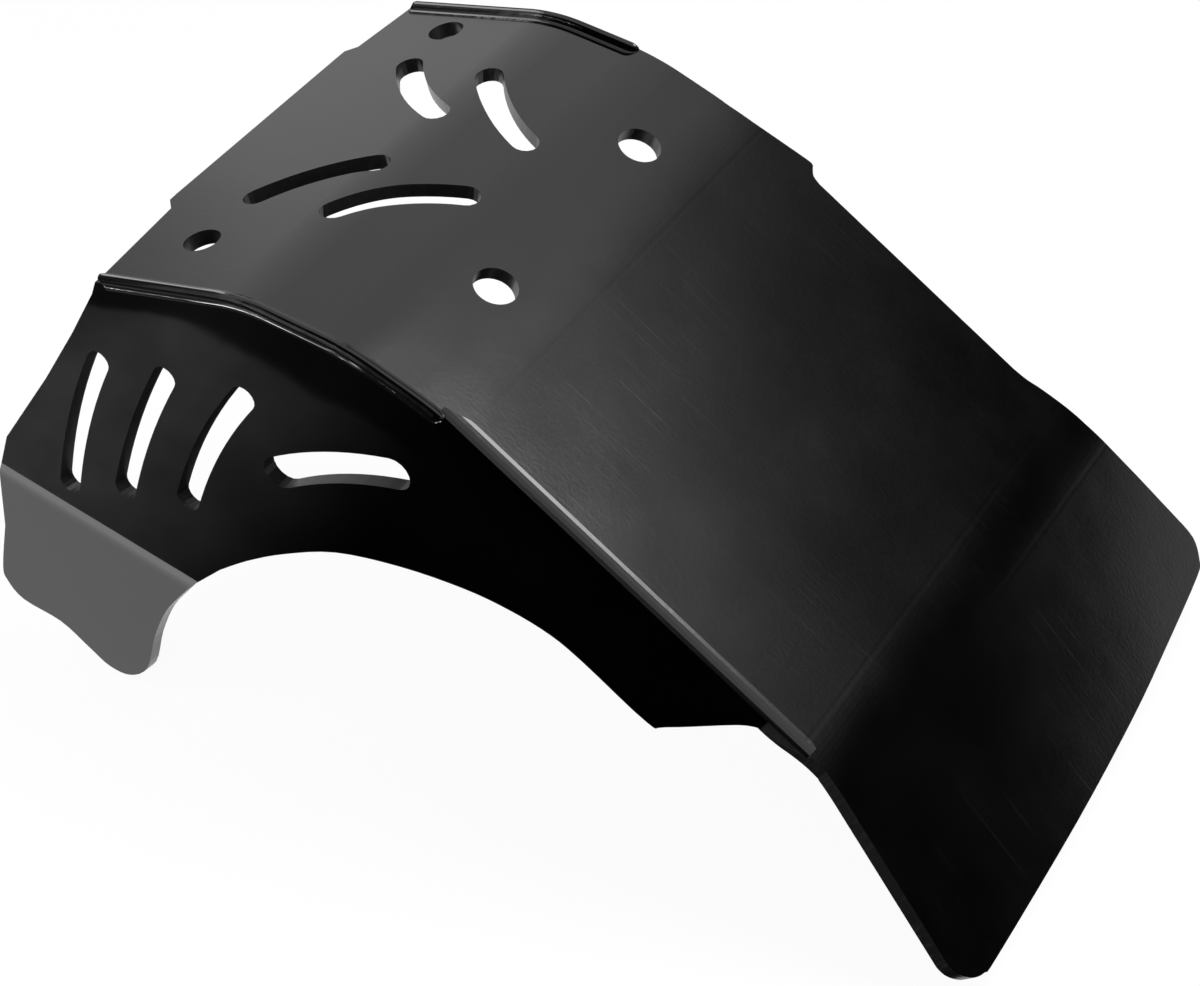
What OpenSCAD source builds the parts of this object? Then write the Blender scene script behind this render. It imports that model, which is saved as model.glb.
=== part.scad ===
// Folded and welded skid plate that guards the underside of a motorcycle engine.
// Millimetres, Z up. The plate stands dome up, its nose towards -X, the long back
// panel falling towards +X, the deep side wing on the -Y side.
// The origin is the centre of the foot of its bounding box.

/* [Sheet] */
// Thickness of the plastic sheet
sheet_t = 6.4; // [5:0.1:7.5]
// Outer radius of the soft folds along the back panel
fold_r = 8; // [7.6:0.1:10]
// Fall of the long back panel below the level, in degrees
back_tilt = 37.2; // [34:0.1:40]

/* [Panels along the plate] */
// Nose panel, from the first bend to its left front corner
nose_len = 71.5; // [66:0.5:76]
// Brow panel, from the first bend to the second
brow_len = 48; // [45:0.5:52]
// Crown panel, from the second bend to the third
crown_len = 41.9; // [39:0.1:46]
// Back panel, from the third bend to the last
back_len = 194.1; // [184:0.1:204]
// Tail panel, from the last bend to its furthest point
tail_len = 100.3; // [92:0.1:108]
// Angle of the first bend, in degrees
nose_bend = 19.4; // [17:0.1:22]
// Angle of the second bend, in degrees
brow_bend = 14.2; // [12:0.1:16]
// Angle of the third bend, in degrees
crown_bend = 13.5; // [12:0.1:15]
// Angle of the last bend, in degrees
tail_bend = 13.2; // [11:0.1:15]
// Half the width of the curved zone of each bend
bend_reach = 13.2; // [8:0.1:16]

/* [Panels across the plate] */
// Middle line to the left outer face
left_w = 112.2; // [108:0.1:117]
// Middle line to the right outer face
right_w = 106; // [102:0.1:110]
// Step inwards of the left cut edge behind the wing's fold
left_step = 2.8; // [1:0.1:4]
// How far the right cut edge of the back panel stands out of the right face
right_step = 2.2; // [1:0.1:4]
// How far the right shoulder stands out of that cut edge
shoulder = 5.7; // [4:0.1:7]
// Flare of the tail on the left, from the left face
tail_flare_left = 9.4; // [7:0.1:13]
// Flare of the tail on the right, from the right face
tail_flare_right = 19.8; // [16:0.1:23]
// Length of the lobe that stands out of the nose edge
lobe_len = 5; // [3:0.1:8]
// How far the right front corner stands ahead of the left one
corner_lead = 5.6; // [4:0.1:7]

/* [Bolt holes] */
// Radius of the bolt holes in the nose panel
nose_hole_r = 7.7; // [6:0.1:9]
// Nose bolt holes, distance in front of the first bend
nose_hole_fwd = 45.3; // [42:0.1:48]
// Nose bolt hole on the left, from the middle line
nose_hole_left = 80.9; // [77:0.1:84]
// Nose bolt hole on the right, from the middle line
nose_hole_right = 86.8; // [83:0.1:90]
// Radius of the bolt holes in the crown panel
crown_hole_r = 9; // [7:0.1:10]
// Crown bolt holes, distance in front of the third bend
crown_hole_fwd = 18.5; // [17:0.1:22]
// Crown bolt hole on the left, from the middle line
crown_hole_left = 46.6; // [43:0.1:50]
// Crown bolt hole on the right, from the middle line
crown_hole_right = 58.1; // [54:0.1:62]

/* [Vents] */
// Width of the four curved vents in the nose and brow panels
vent_w = 11.8; // [10:0.1:13]
// Width of the three steep vents in the wing
wing_vent_w = 10.4; // [9:0.1:12]
// Width of the slanted vent at the top of the wing
top_vent_w = 14.8; // [12:0.1:16]
// Lean of the cut walls of the three steep vents, in degrees
vent_skew = 10; // [0:0.5:14]

/* [Wing, ear and flange] */
// Depth of the front end of the wing's lower fold below the back panel
wing_drop = 247.6; // [236:0.1:258]
// Length of the fold between wing and back panel, behind the third bend
wing_reach = 164.8; // [156:0.1:172]
// Outward lean of the ear below the wing, in degrees
ear_lean = 15; // [10:0.1:20]
// Depth of the ear below its fold
ear_depth = 63.5; // [58:0.1:70]
// Radius of the fold between wing and ear
ear_fold_r = 18; // [14:1:24]
// Depth of the short flange on the right
flange_drop = 22; // [18:1:28]
// Length of the right shoulder behind the third bend
flange_reach = 38.6; // [34:0.1:44]

/* [Weld beads] */
// Radius of the round ridge of the weld beads
ridge_r = 2.2; // [1.8:0.1:2.5]
// Rear end of the left weld bead, distance behind the third bend
left_bead_end = 3.5; // [1:0.5:6]
// Rear end of the right weld bead, distance in front of the third bend
right_bead_end = 49; // [44:0.5:54]

/* [Show] */
// Sub-part to show

/* [Hidden] */
plastic = [0.08, 0.08, 0.085];
weld_plastic = [0.12, 0.12, 0.125];

// Lean of each panel's outward normal towards the tail, in degrees
lean_crown = -crown_bend;
lean_brow = lean_crown - brow_bend;
lean_nose = lean_brow - nose_bend;
lean_tail = tail_bend;

// Bends of the outer face in the side view, from the third bend
bend_3 = [0, 0];
bend_2 = bend_3 - crown_len * along(lean_crown);
bend_1 = bend_2 - brow_len * along(lean_brow);
bend_4 = [back_len, 0];
nose_end = bend_1 - (nose_len + 20) * along(lean_nose);
tail_end = bend_4 + (tail_len + 10) * along(lean_tail);
nose_corner = bend_1 - nose_len * along(lean_nose);
cut_edge = right_w + right_step;

// The wing's points below were laid out for these sizes, and scale with them
wing_front_scale = nose_corner[0] / -131.9;
wing_rear_scale = wing_reach / 164.8;
wing_drop_scale = wing_drop / 247.6;
ear_scale = ear_depth / 63.5;

// Lower fold of the wing: its front end, length and slope
fold_front = wing_at([-126.3, -247.6]);
fold_rear = wing_at([-30.6, -209.2]);
fold_len = norm(fold_rear - fold_front);
fold_slope = atan2(fold_rear[1] - fold_front[1], fold_rear[0] - fold_front[0]);
ear_reach = ear_fold_r * tan(ear_lean / 2);

// Rear end of the right weld bead in the side view
right_stop = bend_2 - (right_bead_end - crown_len) * along(lean_brow);

// Outline of the ear, along its fold and down from it
ear_points = [
    [8, -25], [10.8, -46], [14.4, -52], [24.7, -56.7], [45.3, -56.2], [62, -60.5], [74, -63.5],
    [85, -61.5], [92.3, -52.5], [92.2, -35], [94.6, -19], [100.2, -6]
];

// Rear edge of the wing, from the lower fold up to the back panel
wing_rear_points = [
    [-25.3, -182.7], [-19, -163.2], [-9.2, -140.1], [6, -113.4], [28.7, -89.3], [52.4, -70.4],
    [70.8, -59.9], [88, -53.6], [104, -52], [137, -51.9], [143, -45.8], [159, -13.5], [164.8, -6]
];

// Outline of the tail behind the last bend: along, and across from the left edge
tail_points = [
    [85, -121.6], [89, -121], [93, -119], [97.2, -115.2], [99.6, -109.5], [100.3, -100], [98, -26.5],
    [93.8, 32.7], [89, 72], [83, 113.4], [79.4, 120.8], [71, 125.8], [58, 124.5]
];

// Middle part of the nose edge: ahead of the left corner, and across
nose_points = [
    [5.6, -63], [5.9 + lobe_len, -57.5], [6.2 + lobe_len, -53], [7.6 + lobe_len, 61],
    [7.5 + lobe_len, 64], [8.4, 68.5], [corner_lead - 0.3, 103]
];

// Foot of the bounding box, found from the outlines' outermost points
reach_points = [
    for (p = tail_shape(), d = [0, sheet_t]) tilted(bend_4 + p[0] * along(lean_tail), d, lean_tail),
    for (p = nose_shape(), d = [0, sheet_t]) tilted(bend_1 + p[0] * along(lean_nose), d, lean_nose),
    for (p = ear_shape(), d = [0, sheet_t]) tilted(ear_at(p, d), 0, 0)
];
across_points = concat([for (p = tail_shape()) p[1]], [for (p = ear_shape()) ear_across(p)]);
foot = [
    (min([for (p = reach_points) p[0]]) + max([for (p = reach_points) p[0]])) / 2,
    (min(across_points) + max(across_points)) / 2,
    min([for (p = reach_points) p[1]])
];

// Unit steps along a panel and out of its outer face
function along(lean) = [cos(lean), -sin(lean)];
function out(lean) = [sin(lean), cos(lean)];

// Points of one bend, at a depth below the outer face
function bend_arc(corner, from, to, depth, steps = 12) =
    let (
        half = (to - from) / 2,
        r = bend_reach / tan(half),
        centre = corner - r / cos(half) * out(from + half)
    )
    [for (i = [0:steps]) centre + (r - depth) * out(from + (to - from) * i / steps)];

// Side view of the sheet at a depth below its outer face, nose to tail
function skin(depth) = concat(
    [nose_end - depth * out(lean_nose)],
    bend_arc(bend_1, lean_nose, lean_brow, depth),
    bend_arc(bend_2, lean_brow, lean_crown, depth),
    bend_arc(bend_3, lean_crown, 0, depth),
    bend_arc(bend_4, 0, lean_tail, depth),
    [tail_end - depth * out(lean_tail)]
);

// Smooth line through some points, ends included
function smooth(p, steps = 4) =
    let (n = len(p) - 1)
    concat(
        [for (i = [0:n - 1], k = [0:steps - 1])
            spline(p[max(i - 1, 0)], p[i], p[i + 1], p[min(i + 2, n)], k / steps)],
        [p[n]]
    );
function spline(a, b, c, d, t) =
    b + t / 2 * ((c - a) + t * ((2 * a - 5 * b + 4 * c - d) + t * (3 * b - a - 3 * c + d)));

// Closed outline of a curved vent with round ends
function vent_shape(from, to, bulge, width) =
    let (
        run = to - from,
        chord = norm(run),
        r = (chord * chord / 4 + bulge * bulge) / (2 * abs(bulge)),
        side = sign(bulge) * [-run[1], run[0]] / chord,
        centre = (from + to) / 2 - side * (r - abs(bulge)),
        middle = atan2(side[1], side[0]),
        half = asin(chord / 2 / r),
        w = width / 2
    )
    concat(
        [for (i = [0:10]) let (a = middle - half + i * half / 5) centre + (r + w) * [cos(a), sin(a)]],
        [for (i = [1:7]) let (a = middle + half) centre + r * [cos(a), sin(a)]
            + w * [cos(a + i * 22.5), sin(a + i * 22.5)]],
        [for (i = [10:-1:0]) let (a = middle - half + i * half / 5) centre + (r - w) * [cos(a), sin(a)]],
        [for (i = [1:7]) let (a = middle - half) centre + r * [cos(a), sin(a)]
            + w * [cos(a + 180 + i * 22.5), sin(a + 180 + i * 22.5)]]
    );

// A point of the wing, laid out for the stated sizes, moved to the sizes in use
function wing_at(p) =
    [p[0] * (p[0] < 0 ? wing_front_scale : wing_rear_scale), p[1] * wing_drop_scale];

// A point of the wing given along the lower fold and up from it
function from_fold(p) = fold_front + p[0] * [cos(fold_slope), sin(fold_slope)]
    + p[1] * [-sin(fold_slope), cos(fold_slope)];

// Outlines of the ear, the tail and the nose edge
function ear_shape() = concat(
    [[0.8, ear_reach + 1.6], [0, 0]],
    smooth([for (p = ear_points) [p[0] * fold_len / 103.1, p[1] * ear_scale]]),
    [[fold_len, 0], [fold_len + 0.65 * (ear_reach + 1.6), ear_reach + 1.6]]
);
function tail_shape() = concat(
    [[0, -left_w + left_step]],
    smooth([for (p = tail_points)
        [p[0] * tail_len / 100.3, p[1] < 0
            ? p[1] * (left_w + tail_flare_left) / 121.6
            : p[1] * (right_w + tail_flare_right) / 125.8]]),
    [[34 * tail_len / 100.3, right_w + 0.74 * tail_flare_right], [0, cut_edge + 6.4]]
);
function nose_shape() = concat(
    [[-nose_len, -left_w]],
    [for (p = nose_points) [-nose_len - p[0], p[1]]],
    [[-nose_len - corner_lead, right_w]]
);

// Right cut edge beside the back panel, from the third bend to the last
function right_edge() = concat(
    [[-250, right_w]],
    smooth([[-4, right_w + 0.3], [8, right_w + 1.8], [20, right_w + 4.4],
        [flange_reach - 6, cut_edge + shoulder - 0.7], [flange_reach - 1, cut_edge + shoulder],
        [flange_reach + 0.8, cut_edge + shoulder - 2.2], [flange_reach + 3, cut_edge + 1],
        [flange_reach + 7, cut_edge]], 3),
    smooth([[back_len - 38, cut_edge + 0.1], [back_len - 31, cut_edge + 0.8],
        [back_len - 24, cut_edge + 2.6], [back_len - 14, cut_edge + 4.5],
        [back_len - 3, cut_edge + 6.1], [back_len, cut_edge + 6.4]], 3)
);

// Left cut edge behind the wing's fold
function left_edge() = concat(
    [[-250, -left_w]],
    smooth([[wing_reach + 1, -left_w], [wing_reach + 9, -left_w + 0.2 * left_step],
        [wing_reach + 16, -left_w + 0.6 * left_step], [wing_reach + 23, -left_w + 0.9 * left_step],
        [back_len, -left_w + left_step]], 3)
);

// A point of the ear in the side view at a depth below its outer face, and across
function ear_at(p, depth) =
    from_fold([p[0], p[1] * cos(ear_lean) - depth * sin(ear_lean)]);
function ear_across(p) = -left_w + p[1] * sin(ear_lean);

// A point of the side view after the whole plate is tilted
function tilted(p, depth, lean) =
    let (q = p - depth * out(lean))
    [q[0] * cos(back_tilt) + q[1] * sin(back_tilt), q[1] * cos(back_tilt) - q[0] * sin(back_tilt)];

// Turns the plate from its back panel's frame into its standing frame
module stand() {
    translate([-foot[0], -foot[1], -foot[2]])
        rotate([0, back_tilt, 0])
            children();
}

// Frame of one panel: X along it from a bend, Z out of its outer face
module panel(bend, lean) {
    translate([bend[0], 0, bend[1]])
        rotate([0, lean, 0])
            children();
}

// Frame of the wing: X and Y are the side view, Z points out to the left
module wing_frame() {
    translate([0, -left_w, 0])
        rotate([90, 0, 0])
            children();
}

// A slab of the side view, inwards from an outer face on the left or the right
module side_slab(points, face, side) {
    translate([0, side < 0 ? face + sheet_t : face, 0])
        rotate([90, 0, 0])
            linear_extrude(sheet_t)
                polygon(points);
}

// What is cut away around the sheet's outline
module outline_cuts() {
    panel(bend_1, lean_nose)
        translate([0, 0, -40])
            linear_extrude(80)
                polygon(concat(
                    [[-nose_len - 60, -150], [-nose_len, -150]],
                    nose_shape(),
                    [[-nose_len - corner_lead, 150], [-nose_len - 60, 150]]
                ));
    translate([0, 0, -200])
        linear_extrude(260) {
            polygon(concat([[back_len, -160], [-250, -160]], left_edge()));
            polygon(concat([[back_len, 160], [-250, 160]], right_edge()));
        }
    panel(bend_4, lean_tail)
        translate([0, 0, -40])
            linear_extrude(80)
                difference() {
                    translate([0, -160])
                        square([tail_len + 40, 320]);
                    polygon(concat(
                        [[-5, -left_w + left_step]],
                        tail_shape(),
                        [[-5, cut_edge + 6.4]]
                    ));
                }
}

// The long strip with its four bends, cut to its outline
module strip() {
    inner = skin(sheet_t);
    last = len(inner) - 1;
    difference() {
        rotate([90, 0, 0])
            linear_extrude(280, center = true)
                polygon(concat(skin(0), [for (i = [last:-1:0]) inner[i]]));
        outline_cuts();
    }
}

// Upper edge of a side slab, inside the thickness of the strip, rear to front
function slab_top(front, rear) =
    let (mid = skin(sheet_t / 2), last = len(mid) - 1)
    [for (i = [last:-1:0]) if (mid[i][0] < rear && mid[i][0] > front) mid[i]];

// The deep wing on the left
module wing() {
    side_slab(concat(
        [nose_corner + [1.9, -3], nose_corner + [-1.2, -6.1], nose_corner + [0.2, -13.7]],
        [wing_at([-130.4, -128.3]), wing_at([-130, -166.3]), wing_at([-131.4, -222])],
        [from_fold([0.6, ear_reach + 0.2]), from_fold([fold_len + 0.65 * ear_reach, ear_reach + 0.2])],
        smooth([for (p = wing_rear_points) wing_at(p)]),
        [[wing_reach, -sheet_t / 2]],
        slab_top(nose_corner[0] + 3, wing_reach - 4)
    ), -left_w, -1);
}

// The ear below the wing, with the fold that joins them
module ear() {
    arc = [for (i = [0:6]) i * ear_lean / 6];
    side_view = concat(
        [[ear_reach + 1.6, 0]],
        [for (a = arc) [ear_reach - ear_fold_r * sin(a), ear_fold_r * (1 - cos(a))]],
        [90 * [-cos(ear_lean), sin(ear_lean)]],
        [90 * [-cos(ear_lean), sin(ear_lean)] - sheet_t * [sin(ear_lean), cos(ear_lean)]],
        [for (i = [6:-1:0]) let (a = arc[i], r = ear_fold_r + sheet_t)
            [ear_reach - r * sin(a), ear_fold_r - r * cos(a)]],
        [[ear_reach + 1.6, -sheet_t]]
    );
    wing_frame()
        translate([fold_front[0], fold_front[1], 0])
            rotate([0, 0, fold_slope])
                intersection() {
                    rotate([90, 0, 90])
                        translate([0, 0, -30])
                            linear_extrude(fold_len + 60)
                                polygon(side_view);
                    rotate([-ear_lean, 0, 0])
                        translate([0, 0, -30])
                            linear_extrude(60)
                                polygon(ear_shape());
                }
}

// The short plain flange on the right
module flange() {
    d = flange_drop;
    front = nose_corner - (corner_lead - 1) * along(lean_nose);
    side_slab(concat(
        [front - sheet_t / 2 * out(lean_nose), front - (d - 7) * out(lean_nose)],
        [front - (d - 2) * out(lean_nose) + 2 * along(lean_nose)],
        [front - d * out(lean_nose) + 7 * along(lean_nose)],
        [bend_1 - d * out((lean_nose + lean_brow) / 2), bend_2 - d * out((lean_brow + lean_crown) / 2)],
        [bend_3 - d * out(lean_crown / 2), [flange_reach - 20, -d], [flange_reach - 12, -d + 2.5]],
        [[flange_reach - 6, -d / 2], [flange_reach - 3, -sheet_t / 2]],
        slab_top(nose_corner[0] + 3, flange_reach - 4)
    ), right_w, 1);
}

// What a soft fold takes off the corner over the back panel
module fold_round(r) {
    rotate([90, 0, 90])
        linear_extrude(wing_reach + 20)
            polygon(concat(
                [[-2, 2], [-2, -r]],
                [for (i = [0:8]) let (a = 180 - i * 11.25) [r + r * cos(a), -r + r * sin(a)]],
                [[r, 2]]
            ));
}

// What the soft fold adds in the inner corner
module fold_fill(r, length) {
    rotate([90, 0, 90])
        linear_extrude(length)
            polygon(concat(
                [[-1, 1], [-1, -r]],
                [for (i = [0:6]) let (a = 180 - i * 15) [r + r * cos(a), -r + r * sin(a)]],
                [[r, 1]]
            ));
}

// The curved vents of the nose and brow panels
module deck_vents() {
    panel(bend_1, lean_nose)
        for (v = [[[-7, -15.5], [-43.5, -48], -3.7], [[-6.5, 25.2], [-43.5, 57.3], 3.1]])
            vent_cut(v[0], v[1], v[2], vent_w);
    panel(bend_2, lean_brow)
        for (v = [[[-12.6, -14.5], [-50.5, -49.3], -3.8], [[-12.4, 27], [-48.5, 56], 3.2]])
            vent_cut(v[0], v[1], v[2], vent_w);
}

// The vents of the wing, in the wing's frame
module wing_vents() {
    wing_frame()
        for (v = [
            [[-115.4, -130.3], [-97.6, -214.3], -2.4, wing_vent_w, vent_skew],
            [[-89.7, -106.2], [-77.2, -186.8], -2, wing_vent_w, vent_skew],
            [[-60, -79.3], [-53.6, -159.6], -2.9, wing_vent_w + 0.6, vent_skew],
            [[3, -47], [-31.2, -99.8], -2.8, top_vent_w, 0]
        ])
            vent_cut(wing_at(v[0]), wing_at(v[1]), v[2], v[3], v[4]);
}

// One vent, its walls leaning about the line from end to end
module vent_cut(from, to, bulge, width, skew = 0) {
    translate([from[0], from[1], 0])
        rotate(a = skew, v = [to[0] - from[0], to[1] - from[1], 0])
            translate([-from[0], -from[1], -20])
                linear_extrude(30)
                    polygon(vent_shape(from, to, bulge, width));
}

// The four bolt holes
module bolt_holes() {
    panel(bend_1, lean_nose)
        for (y = [-nose_hole_left, nose_hole_right])
            translate([-nose_hole_fwd, y, -20])
                cylinder(h = 40, r = nose_hole_r, $fn = 64);
    panel(bend_3, lean_crown)
        for (y = [-crown_hole_left, crown_hole_right])
            translate([-crown_hole_fwd, y, -20])
                cylinder(h = 40, r = crown_hole_r, $fn = 64);
}

// Sections of the weld beads from the inner toe round to the side: across, then up
function ridge(centre, r, from, to) =
    [for (i = [0:8]) let (a = from + (to - from) * i / 8) centre + r * [cos(a), sin(a)]];
function left_section() = concat(
    [[2.6, 0]],
    ridge([-0.6, -0.55], ridge_r, 20, 250),
    [[-0.5, -3.5]],
    ridge([-0.3, -4.9], 1, 120, 240),
    [[0, -6.2], [0, 0]]
);
function right_section() = concat(
    [[7.2, 0], [6.6, 0.7], [5.6, 0.8], [4.4, 0.35]],
    ridge([1.5, 0.5], ridge_r, 10, 200),
    [[-0.5, -1.6], [-0.35, -2.6], [0, -3], [0, 0]]
);

// A weld bead along the outer corner of the front panels, up to a place along the plate
module weld_bead(section, face, side, front, stop) {
    count = len(section);
    whole = skin(0);
    rounding = 3.5;
    line = concat(
        [bend_1 - front * along(lean_nose), bend_1 - (front - 1.5) * along(lean_nose)],
        [for (i = [1:len(whole) - 1]) if (whole[i][0] < stop - rounding - 0.5) whole[i]],
        [for (k = [0, 0.4, 0.65, 0.82, 0.93, 1])
            let (x = stop + rounding * (k - 1)) [x, lookup(x, whole)]]
    );
    last = len(line) - 1;
    swell = [for (i = [0:last]) let (k = max(1 + (line[i][0] - stop) / rounding, 0))
        i == 0 ? 0.8 : sqrt(1.02 - k * k)];
    leans = [for (i = [0:last]) let (a = line[max(i - 1, 0)], b = line[min(i + 1, last)])
        atan2(a[1] - b[1], b[0] - a[0])];
    points = [
        for (i = [0:last], p = section)
            let (q = line[i] + swell[i] * p[1] * out(leans[i]))
            [q[0], face - side * swell[i] * p[0], q[1]]
    ];
    walls = [
        for (i = [0:last - 1], k = [0:count - 1])
            let (n = (k + 1) % count)
            [i * count + k, i * count + n, (i + 1) * count + n, (i + 1) * count + k]
    ];
    caps = [[for (k = [count - 1:-1:0]) k], [for (k = [0:count - 1]) last * count + k]];
    faces = concat(walls, caps);
    polyhedron(points, side < 0 ? faces : [for (f = faces) [for (k = [len(f) - 1:-1:0]) f[k]]]);
}

// One folded sheet: panels, wing, ear and flange, with its holes and vents
module plate() {
    inner_r = max(fold_r - sheet_t, 0.4);
    color(plastic)
        stand()
            difference() {
                union() {
                    strip();
                    wing();
                    ear();
                    flange();
                    translate([2, -left_w + sheet_t, -sheet_t])
                        fold_fill(inner_r, wing_reach - 2 * fold_r);
                }
                translate([left_bead_end - 3, -left_w, 0])
                    fold_round(fold_r);
                deck_vents();
                wing_vents();
                bolt_holes();
            }
}

module weld_bead_left() {
    color(weld_plastic)
        stand()
            weld_bead(left_section(), -left_w, -1, nose_len + 0.4, left_bead_end);
}

module weld_bead_right() {
    color(weld_plastic)
        stand()
            weld_bead(right_section(), right_w, 1, nose_len + corner_lead - 1.6, right_stop[0]);
}

plate();
weld_bead_left();
weld_bead_right();
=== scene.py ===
import math

import bpy
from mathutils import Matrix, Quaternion, Vector

# A motorcycle skid plate: one folded sheet of black plastic with two weld beads.
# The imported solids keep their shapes, and this script gives them their finishes.

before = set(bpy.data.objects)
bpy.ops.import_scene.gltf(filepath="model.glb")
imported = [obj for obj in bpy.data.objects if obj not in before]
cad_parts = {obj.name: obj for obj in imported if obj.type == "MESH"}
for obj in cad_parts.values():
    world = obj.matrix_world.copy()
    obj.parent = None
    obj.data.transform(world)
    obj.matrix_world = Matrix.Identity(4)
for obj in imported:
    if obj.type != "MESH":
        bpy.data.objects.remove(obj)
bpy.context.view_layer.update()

MM = 0.001
WHITE = (1, 1, 1, 1)


# Shader maths: a socket adds Math nodes when it meets an operator.

class Socket:
    def __init__(self, finish, link):
        self.finish = finish
        self.link = link

    def math(self, operation, *values):
        return self.finish.add("ShaderNodeMath", {"operation": operation}, self, *values)

    def __add__(self, other):
        return self.math("ADD", other)

    def __sub__(self, other):
        return self.math("SUBTRACT", other)

    def __mul__(self, other):
        return self.math("MULTIPLY", other)

    def __truediv__(self, other):
        return self.math("DIVIDE", other)

    def __rsub__(self, other):
        return self.finish.add("ShaderNodeMath", {"operation": "SUBTRACT"}, other, self)

    __radd__ = __add__
    __rmul__ = __mul__

    def size(self):
        return self.math("ABSOLUTE")

    def least(self, other):
        return self.math("MINIMUM", other)

    def most(self, other):
        return self.math("MAXIMUM", other)

    def ramp(self, low, high):
        """Rises smoothly from 0 to 1 while the value runs from low to high."""
        return self.finish.add(
            "ShaderNodeMapRange", {"interpolation_type": "SMOOTHSTEP"}, self, low, high)


class Finish:
    """The nodes of a material, or of the world."""

    def __init__(self, owner):
        self.owner = owner
        self.owner.use_nodes = True
        self.tree = self.owner.node_tree
        self.tree.nodes.clear()

    def put(self, socket, value):
        if isinstance(value, Socket):
            self.tree.links.new(value.link, socket)
        else:
            socket.default_value = value

    def add(self, kind, settings, *values, out=0, **named):
        """Adds a node: its settings first, then its sockets by order or by name."""
        node = self.tree.nodes.new(kind)
        for name, value in settings.items():
            setattr(node, name, value)
        for socket, value in zip(node.inputs, values):
            self.put(socket, value)
        for name, value in named.items():
            self.put(node.inputs[name.replace("_", " ")], value)
        return Socket(self, node.outputs[out])

    def along(self, vector, axis):
        """How far a vector reaches along an axis."""
        return self.add(
            "ShaderNodeVectorMath", {"operation": "DOT_PRODUCT"}, vector, axis, out="Value")

    def noise(self, vector, cells, detail=2.0, roughness=0.5):
        """Soft clouds, with so many cells to the metre."""
        return self.add(
            "ShaderNodeTexNoise", {}, Vector=vector, Scale=cells, Detail=detail,
            Roughness=roughness)

    def streaks(self, vector, cells, detail=2.0, roughness=0.5):
        """Drawn-out clouds, with so many cells to the metre along each axis."""
        stretched = self.add(
            "ShaderNodeVectorMath", {"operation": "MULTIPLY"}, vector, cells)
        return self.noise(stretched, 1.0, detail, roughness)

    def seen(self):
        """1 for what the camera meets by itself, in a reflection or through glass."""
        eye, mirrored, through = (
            self.add("ShaderNodeLightPath", {}, out=ray)
            for ray in ("Is Camera Ray", "Is Glossy Ray", "Is Transmission Ray"))
        return eye.most(mirrored).most(through)

    def finish(self, shader, end="ShaderNodeOutputMaterial"):
        """Shows the shader, and gives back the material or world that has it."""
        last = self.tree.nodes.new(end)
        self.tree.links.new(shader.link, last.inputs["Surface"])
        return self.owner


def new_finish(name):
    return Finish(bpy.data.materials.new(name))


# The plate's own frame, repeated from the part's source. Its origin is the third
# bend's corner, and it runs along the back panel, across the plate and out of it.

ORIGIN = Vector((16.748, 1.376, 202.609)) * MM

# The back panel's tilt, and the deck's on the whole, in degrees
BACK_TILT = 37.2
DECK_TILT = 20

# The corners of the bends in that frame
FIRST_BEND = Vector((-83.24, 0, -32.09)) * MM
SECOND_BEND = Vector((-40.74, 0, -9.78)) * MM
THIRD_BEND = Vector((0, 0, 0))
FOURTH_BEND = Vector((194.1, 0, 0)) * MM

# Nose, brow, crown, back and tail: how many degrees each leans from the back panel,
# and a bend that its outer skin meets
PANELS = (
    (-47.1, FIRST_BEND),
    (-27.7, FIRST_BEND),
    (-13.5, SECOND_BEND),
    (0, THIRD_BEND),
    (13.2, FOURTH_BEND),
)

# Where the flat panels end and the bends begin, in millimetres along the back panel
CREASE_PLACES = (-92.2, -71.6, -52.4, -27.9, -12.8, 13.2, 180.9, 207.0)

# Soft limits: under the sheet's inner skin, and round the wing and the right flange
INNER_SKIN = (6.6 * MM, 7.0 * MM)
WING_SIDE = (-105 * MM, -104 * MM)
WING_END = (165 * MM, 166 * MM)
FLANGE_SIDE = (104 * MM, 105 * MM)
FLANGE_END = (-5 * MM, -3 * MM)


def outward(tilt):
    """The way straight out of a panel that is tilted by so many degrees."""
    return Vector((math.sin(math.radians(tilt)), 0, math.cos(math.radians(tilt))))


class Places:
    """Where a point of the plate lies, in its own frame, and which way it faces."""

    def __init__(self, f):
        across = (0, 1, 0)
        self.where = f.add("ShaderNodeTexCoord", {}, out="Object")
        offset = f.add(
            "ShaderNodeVectorMath", {"operation": "SUBTRACT"}, self.where, ORIGIN)
        self.x = f.along(offset, outward(BACK_TILT + 90))
        self.y = f.along(offset, across)
        z = f.along(offset, outward(BACK_TILT))
        self.own = f.add("ShaderNodeCombineXYZ", {}, self.x, self.y, z)

        facing = f.add("ShaderNodeNewGeometry", {}, out="True Normal")
        self.side = f.along(facing, across).size()
        self.face = f.along(facing, outward(DECK_TILT)).size()

        # How far the point lies under the outer skin of the five panels
        depths = []
        for lean, bend in PANELS:
            out = outward(lean)
            depths.append(out.dot(bend) - f.along(self.own, out))
        self.depth = depths[0]
        for depth in depths[1:]:
            self.depth = self.depth.least(depth)
        self.sheet = f.add("ShaderNodeCombineXYZ", {}, self.x, self.y, self.depth)


def cut_walls(place):
    """1 on the sawn walls of the deck and of the wing, 0 on the sheet's faces."""
    in_sheet = 1 - place.depth.ramp(*INNER_SKIN)
    wing_side = (1 - place.y.ramp(*WING_SIDE)) * (1 - place.x.ramp(*WING_END))
    flange_side = place.y.ramp(*FLANGE_SIDE) * (1 - place.x.ramp(*FLANGE_END))
    off_face = 1 - place.face.ramp(0.62, 0.72)
    off_side = 1 - place.side.ramp(0.5, 0.62)
    deck_wall = in_sheet * off_face * (1 - wing_side) * (1 - flange_side)
    wing_wall = (1 - in_sheet) * wing_side * off_side
    return deck_wall, wing_wall


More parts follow.
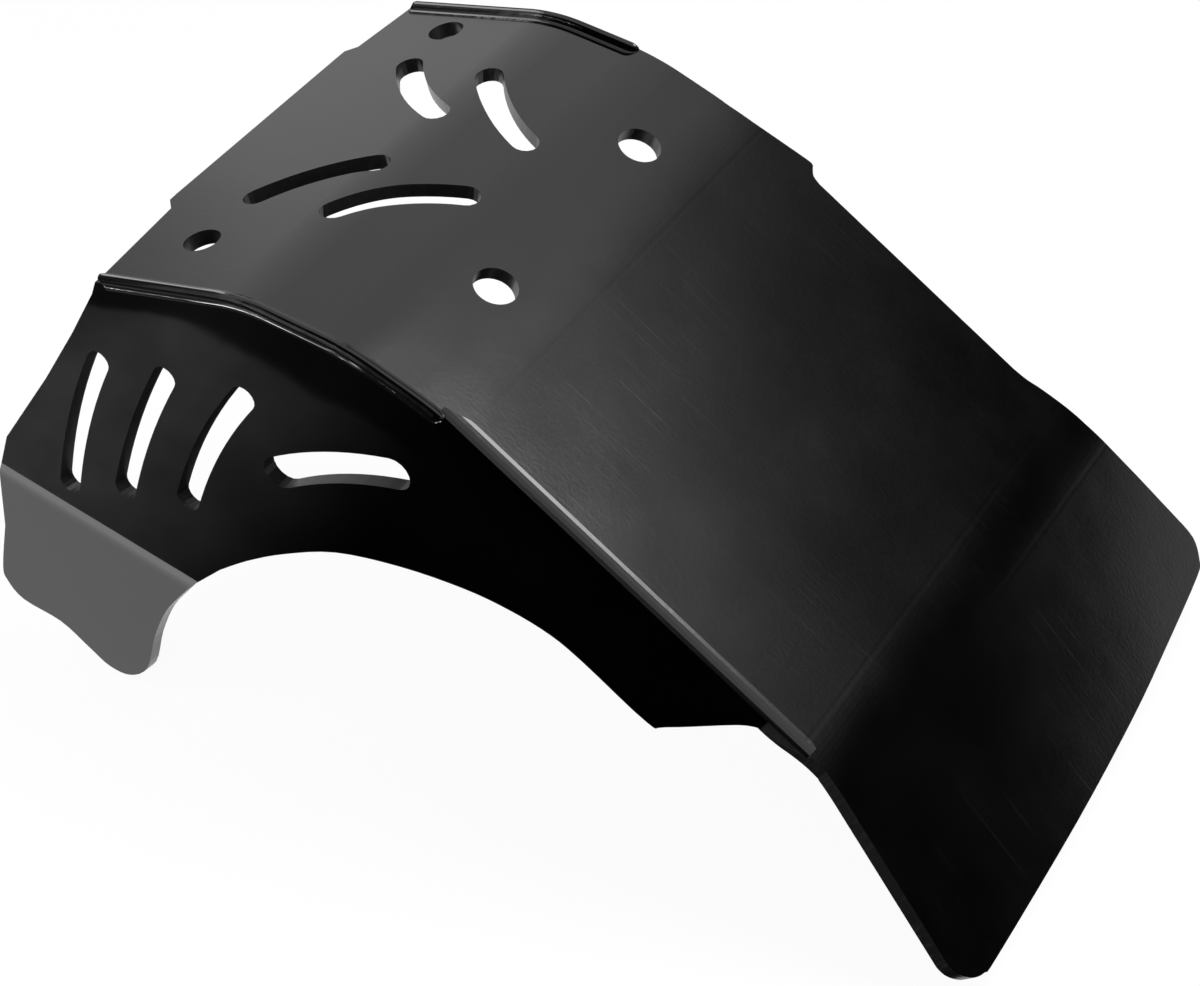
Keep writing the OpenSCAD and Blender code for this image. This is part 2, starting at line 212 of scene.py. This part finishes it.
# Finishes of the plastic. Heights and depths are in millimetres.

DEEP_BLACK = (0.0003, 0.0003, 0.0003, 1)
SCUFFED_BLACK = (0.009, 0.009, 0.0093, 1)
WELD_BLACK = (0.001, 0.001, 0.001, 1)

CREASE_WIDTH = 1.6 * MM

WAVE_HEIGHT = 1.6
DIMPLE_HEIGHT = 0.035
GRAIN_HEIGHT = 0.022
SCRATCH_DEPTH = 0.006
CREASE_DEPTH = 0.02
SAW_HEIGHT = 0.12

RIPPLE_HEIGHT = 0.2
STREAK_HEIGHT = 0.09
CROWN_FALL = 0.05

SIDE_GLOSS = 0.03


def plastic(f, colour, roughness, relief):
    """Black polyethylene of this colour, roughness and relief."""
    bump = f.add("ShaderNodeBump", {}, Strength=1.0, Distance=MM, Height=relief)
    return f.add(
        "ShaderNodeBsdfPrincipled", {}, Base_Color=colour, Roughness=roughness,
        IOR=1.5, Specular_IOR_Level=0.57, Normal=bump)


def sheet_finish():
    """Black polyethylene sheet: satin, faintly wavy, with fine scratches along it."""
    f = new_finish("satin_black_sheet")
    place = Places(f)
    deck_wall, wing_wall = cut_walls(place)
    wall = deck_wall.most(wing_wall)
    deck = 1 - place.side.ramp(0.5, 0.9)

    waves = f.noise(place.where, 7, 1.0)
    dimple = f.noise(place.where, 55, 1.0)
    smudge = f.noise(place.where, 20, 4.0, 0.62)
    grain = f.streaks(place.sheet, (420, 800, 800), 2.0, 0.6)
    lines = f.streaks(place.sheet, (9, 1000, 1000), 3.0, 0.7)
    patches = f.noise(place.where, 13)
    scratch = lines.ramp(0.58, 0.72) * patches.ramp(0.38, 0.62)

    # The saw's marks cross the walls, from skin to skin
    saw = f.add(
        "ShaderNodeMix", {"data_type": "FLOAT"}, wing_wall, out="Result",
        A=f.streaks(place.own, (900, 900, 60), 2.0, 0.6),
        B=f.streaks(place.own, (900, 60, 900), 2.0, 0.6))

    # Faint lines on the deck where each bend begins and ends
    crease = sum(
        1 - (place.x - line * MM).size().ramp(0, CREASE_WIDTH) for line in CREASE_PLACES)
    crease = crease * (1 - place.side.ramp(0.3, 0.6))

    satin = 0.10 + 0.07 * smudge + 0.05 * grain + 0.06 * scratch
    roughness = SIDE_GLOSS + 0.05 * smudge + deck * (satin - SIDE_GLOSS) + 0.24 * wall

    sawn = 0.5 + 0.8 * saw.ramp(0.45, 0.7)
    scuffed = smudge.ramp(0.35, 0.75) * 0.025 + scratch * deck * 0.15 + wall * sawn
    colour = f.add(
        "ShaderNodeMix", {"data_type": "RGBA"}, scuffed, out="Result",
        A=DEEP_BLACK, B=SCUFFED_BLACK)

    relief = (
        waves * WAVE_HEIGHT + dimple * DIMPLE_HEIGHT + grain * deck * GRAIN_HEIGHT
        - scratch * deck * SCRATCH_DEPTH - crease * CREASE_DEPTH
        + saw * wall * SAW_HEIGHT)
    return f.finish(plastic(f, colour, roughness, relief))


def weld_finish(name, middle, groove_shade_strength):
    """The same plastic, melted: smoother and rippled, with painted shade along it: streaks
    of matte black mixed in to stand for shade in its grooves.

    middle is how far the bead's middle lies from the plate's, in millimetres, and the last
    argument is how strongly the painted groove shade darkens the bead, from 0 to 1.
    """
    f = new_finish(name)
    place = Places(f)
    ripple = f.streaks(place.sheet, (150, 60, 60))
    streak = f.streaks(place.sheet, (14, 650, 650))
    # Painted shade: streaks where the bead turns matte black, standing for shade in its
    # grooves
    groove_shade = f.streaks(place.sheet, (8, 420, 420), 1.0, 0.4).ramp(0.53, 0.60)
    crown = (place.y.size() - middle * MM) / MM
    relief = ripple * RIPPLE_HEIGHT + streak * STREAK_HEIGHT - crown * crown * CROWN_FALL
    melt = plastic(f, WELD_BLACK, 0.07 + 0.08 * streak, relief)
    # The painted shade itself: a matte black without gloss, mixed in along those streaks
    painted_groove_shade = f.add("ShaderNodeBsdfDiffuse", {}, Color=WELD_BLACK)
    return f.finish(f.add("ShaderNodeMixShader", {}, groove_shade * groove_shade_strength, melt, painted_groove_shade))


def dress(node, finish):
    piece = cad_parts[node]
    piece.data.materials.clear()
    piece.data.materials.append(finish)


dress("plate", sheet_finish())
# Each bead gets painted groove shade, stronger on the left bead than on the right
dress("weld_bead_left", weld_finish("melted_weld_left", middle=109, groove_shade_strength=0.8))
dress("weld_bead_right", weld_finish("melted_weld_right", middle=108, groove_shade_strength=0.4))


# The floor, which looks white and keeps a faint shadow.

FLOOR_WHITENESS = 0.94


def plane(name, centre, size, turn=(0, 0, 0)):
    mesh = bpy.data.meshes.new(name)
    w, d = size[0] / 2, size[1] / 2
    mesh.from_pydata([(-w, -d, 0), (w, -d, 0), (w, d, 0), (-w, d, 0)], [], [(0, 1, 2, 3)])
    piece = bpy.data.objects.new(name, mesh)
    piece.location = centre
    piece.rotation_euler = [math.radians(a) for a in turn]
    bpy.context.scene.collection.objects.link(piece)
    return piece


def floor_finish():
    """White to the eye and in reflections, with a faint shadow where light is kept off."""
    f = new_finish("white_floor")
    diffuse = f.add("ShaderNodeBsdfDiffuse", {}, Color=(0.9, 0.9, 0.9, 1))
    glow = f.add("ShaderNodeEmission", {}, Color=WHITE, Strength=1.0)
    return f.finish(
        f.add("ShaderNodeMixShader", {}, f.seen() * FLOOR_WHITENESS, diffuse, glow))


floor = plane("floor", centre=(0, 0, -0.5 * MM), size=(12, 12))
floor.data.materials.append(floor_finish())


# Cloths and one lit card that only reflections meet. Each cover says how dense its
# cloth is at u and v, in metres from the cloth's middle, and cloud makes it uneven.

def flag(name, centre, size, turn, cover, glow=0.0):
    """A cloth as dense as its cover says, black unless it glows."""
    card = plane(name, centre, size, turn)
    f = new_finish(name + "_cloth")
    local = f.add("ShaderNodeTexCoord", {}, out="Object")
    u, v = f.along(local, (1, 0, 0)), f.along(local, (0, 1, 0))
    cloud = f.noise(local, 22, 3.0)
    cloth = f.add("ShaderNodeEmission", {}, Color=WHITE, Strength=glow)
    clear = f.add("ShaderNodeBsdfTransparent", {})
    card.data.materials.append(f.finish(
        f.add("ShaderNodeMixShader", {}, cover(u, v, cloud), clear, cloth)))
    card.visible_camera = False
    card.visible_transmission = False
    card.visible_diffuse = False
    card.visible_shadow = False


def full_cover(u, v, cloud):
    """Dense all over."""
    return 1.0


def tail_cover(u, v, cloud):
    """Dense to 0.65 m above the floor, clear above 1.4 m, with a gap low on one side."""
    top = 1 - (v + u * 0.3).ramp(-0.15, 0.6)
    slant = u + (v + 0.57) * 1.6
    gap = (1 - v.ramp(-0.62, -0.46)) * (1 - slant.ramp(0.07, 0.18))
    return top * (1 - gap)


def tail_floor_cover(u, v, cloud):
    """Dense on the tail's left, clear on its right."""
    return u.ramp(0.05, 0.13)


def wing_cover(u, v, cloud):
    """Dense beside the wing's rear, a little thinner below its front."""
    edge = 0.360 + 0.024 * (1 - u.ramp(-0.02, 0.03)) + 0.012 * cloud
    near = (v - edge).ramp(-0.002, 0.002)
    light = (1 - u.ramp(0.02, 0.165)) * (0.15 + 0.85 * near) * (0.3 + 1.4 * cloud)
    return 1 - 0.16 * light


def nose_cover(u, v, cloud):
    """Half dense, and clear at the plate's right."""
    return 0.55 * (1 - u.ramp(0.8, 1.15))


def camera_cover(u, v, cloud):
    """Dense to 1.3 m above the floor, clear above 1.75 m."""
    return 1 - v.ramp(0.75, 1.2)


flag("tail_flag", centre=(0.695, 0.9, 0.8), size=(3.4, 1.6), turn=(90, 0, -37.7),
     cover=tail_cover)
flag("nose_flag", centre=(-1.5, 0.0, 1.0), size=(3.0, 2.0), turn=(90, 0, 90),
     cover=nose_cover)
flag("camera_flag", centre=(0.49, -1.835, 0.55), size=(5.0, 2.6), turn=(90, 0, 15),
     cover=camera_cover)
flag("wing_flag", centre=(-0.25, -0.6, 0.0863), size=(0.75, 0.97), turn=(0, 15.4, 0),
     cover=wing_cover)

# These lie on the floor, a hair above one another
flag("tail_floor_flag", centre=(0.6, 0.45, 0.6 * MM), size=(1.6, 1.1), turn=(0, 0, -45),
     cover=tail_floor_cover)
flag("wing_floor_flag", centre=(0.22, -0.615, 0.9 * MM), size=(0.78, 1.0), turn=(0, 0, 0),
     cover=full_cover)
flag("under_flag", centre=(0, 0, 1.2 * MM), size=(0.44, 0.2), turn=(0, 0, 0),
     cover=full_cover)
flag("ear_card", centre=(-0.3, -0.25, 1.5 * MM), size=(0.5, 0.34), turn=(0, 0, 0),
     cover=full_cover, glow=1.75)


# Softboxes, and a world that is white to look at and dim as a light.

WORLD_LIGHT = 0.3


def area_light(name, place, aim, size, radiance, turn=0):
    lamp = bpy.data.lights.new(name, "AREA")
    lamp.shape = "RECTANGLE"
    lamp.size, lamp.size_y = size
    lamp.energy = radiance * math.pi * size[0] * size[1]
    holder = bpy.data.objects.new(name, lamp)
    holder.location = place
    holder.rotation_mode = "QUATERNION"
    holder.rotation_quaternion = (
        (Vector(aim) - Vector(place)).to_track_quat("-Z", "Y")
        @ Quaternion((0, 0, 1), math.radians(turn)))
    holder.visible_camera = False
    bpy.context.scene.collection.objects.link(holder)


area_light("top_softbox", place=(0.6, 0.37, 1.25), aim=(0.6, 0.37, 0), size=(1.06, 0.6),
           radiance=9.2, turn=20)
area_light("left_softbox", place=(-1.0, -0.35, 0.9), aim=(0, -0.1, 0.15), size=(0.8, 0.5),
           radiance=5.2)
area_light("ear_softbox", place=(-0.52, -0.85, 0.14), aim=(-0.19, -0.125, 0.05),
           size=(0.5, 0.22), radiance=22)

world = bpy.data.worlds.new("studio")
bpy.context.scene.world = world
sky = Finish(world)
strength = sky.seen() * (1 - WORLD_LIGHT) + WORLD_LIGHT
sky.finish(sky.add("ShaderNodeBackground", {}, WHITE, strength), "ShaderNodeOutputWorld")
world.cycles.sampling_method = "NONE"


# Camera at the photograph's place: found from the plate's own straight lines.

CAMERA_PLACE = Vector((530.6, -713.5, 823.9)) * MM
CAMERA_AIM = Vector((15.85, -14.25, 89.72)) * MM
CAMERA_ROLL = math.radians(-6.72)

lens = bpy.data.cameras.new("camera")
lens.sensor_width = 36
lens.lens = 83.04
lens.shift_x = -0.0028
lens.shift_y = -0.0014
lens.clip_start = 0.05
lens.clip_end = 50
camera = bpy.data.objects.new("camera", lens)
camera.location = CAMERA_PLACE
camera.rotation_mode = "QUATERNION"
camera.rotation_quaternion = (
    (CAMERA_AIM - CAMERA_PLACE).to_track_quat("-Z", "Y")
    @ Quaternion((0, 0, 1), CAMERA_ROLL))
bpy.context.scene.collection.objects.link(camera)
bpy.context.scene.camera = camera

scene = bpy.context.scene
scene.view_settings.view_transform = "Standard"
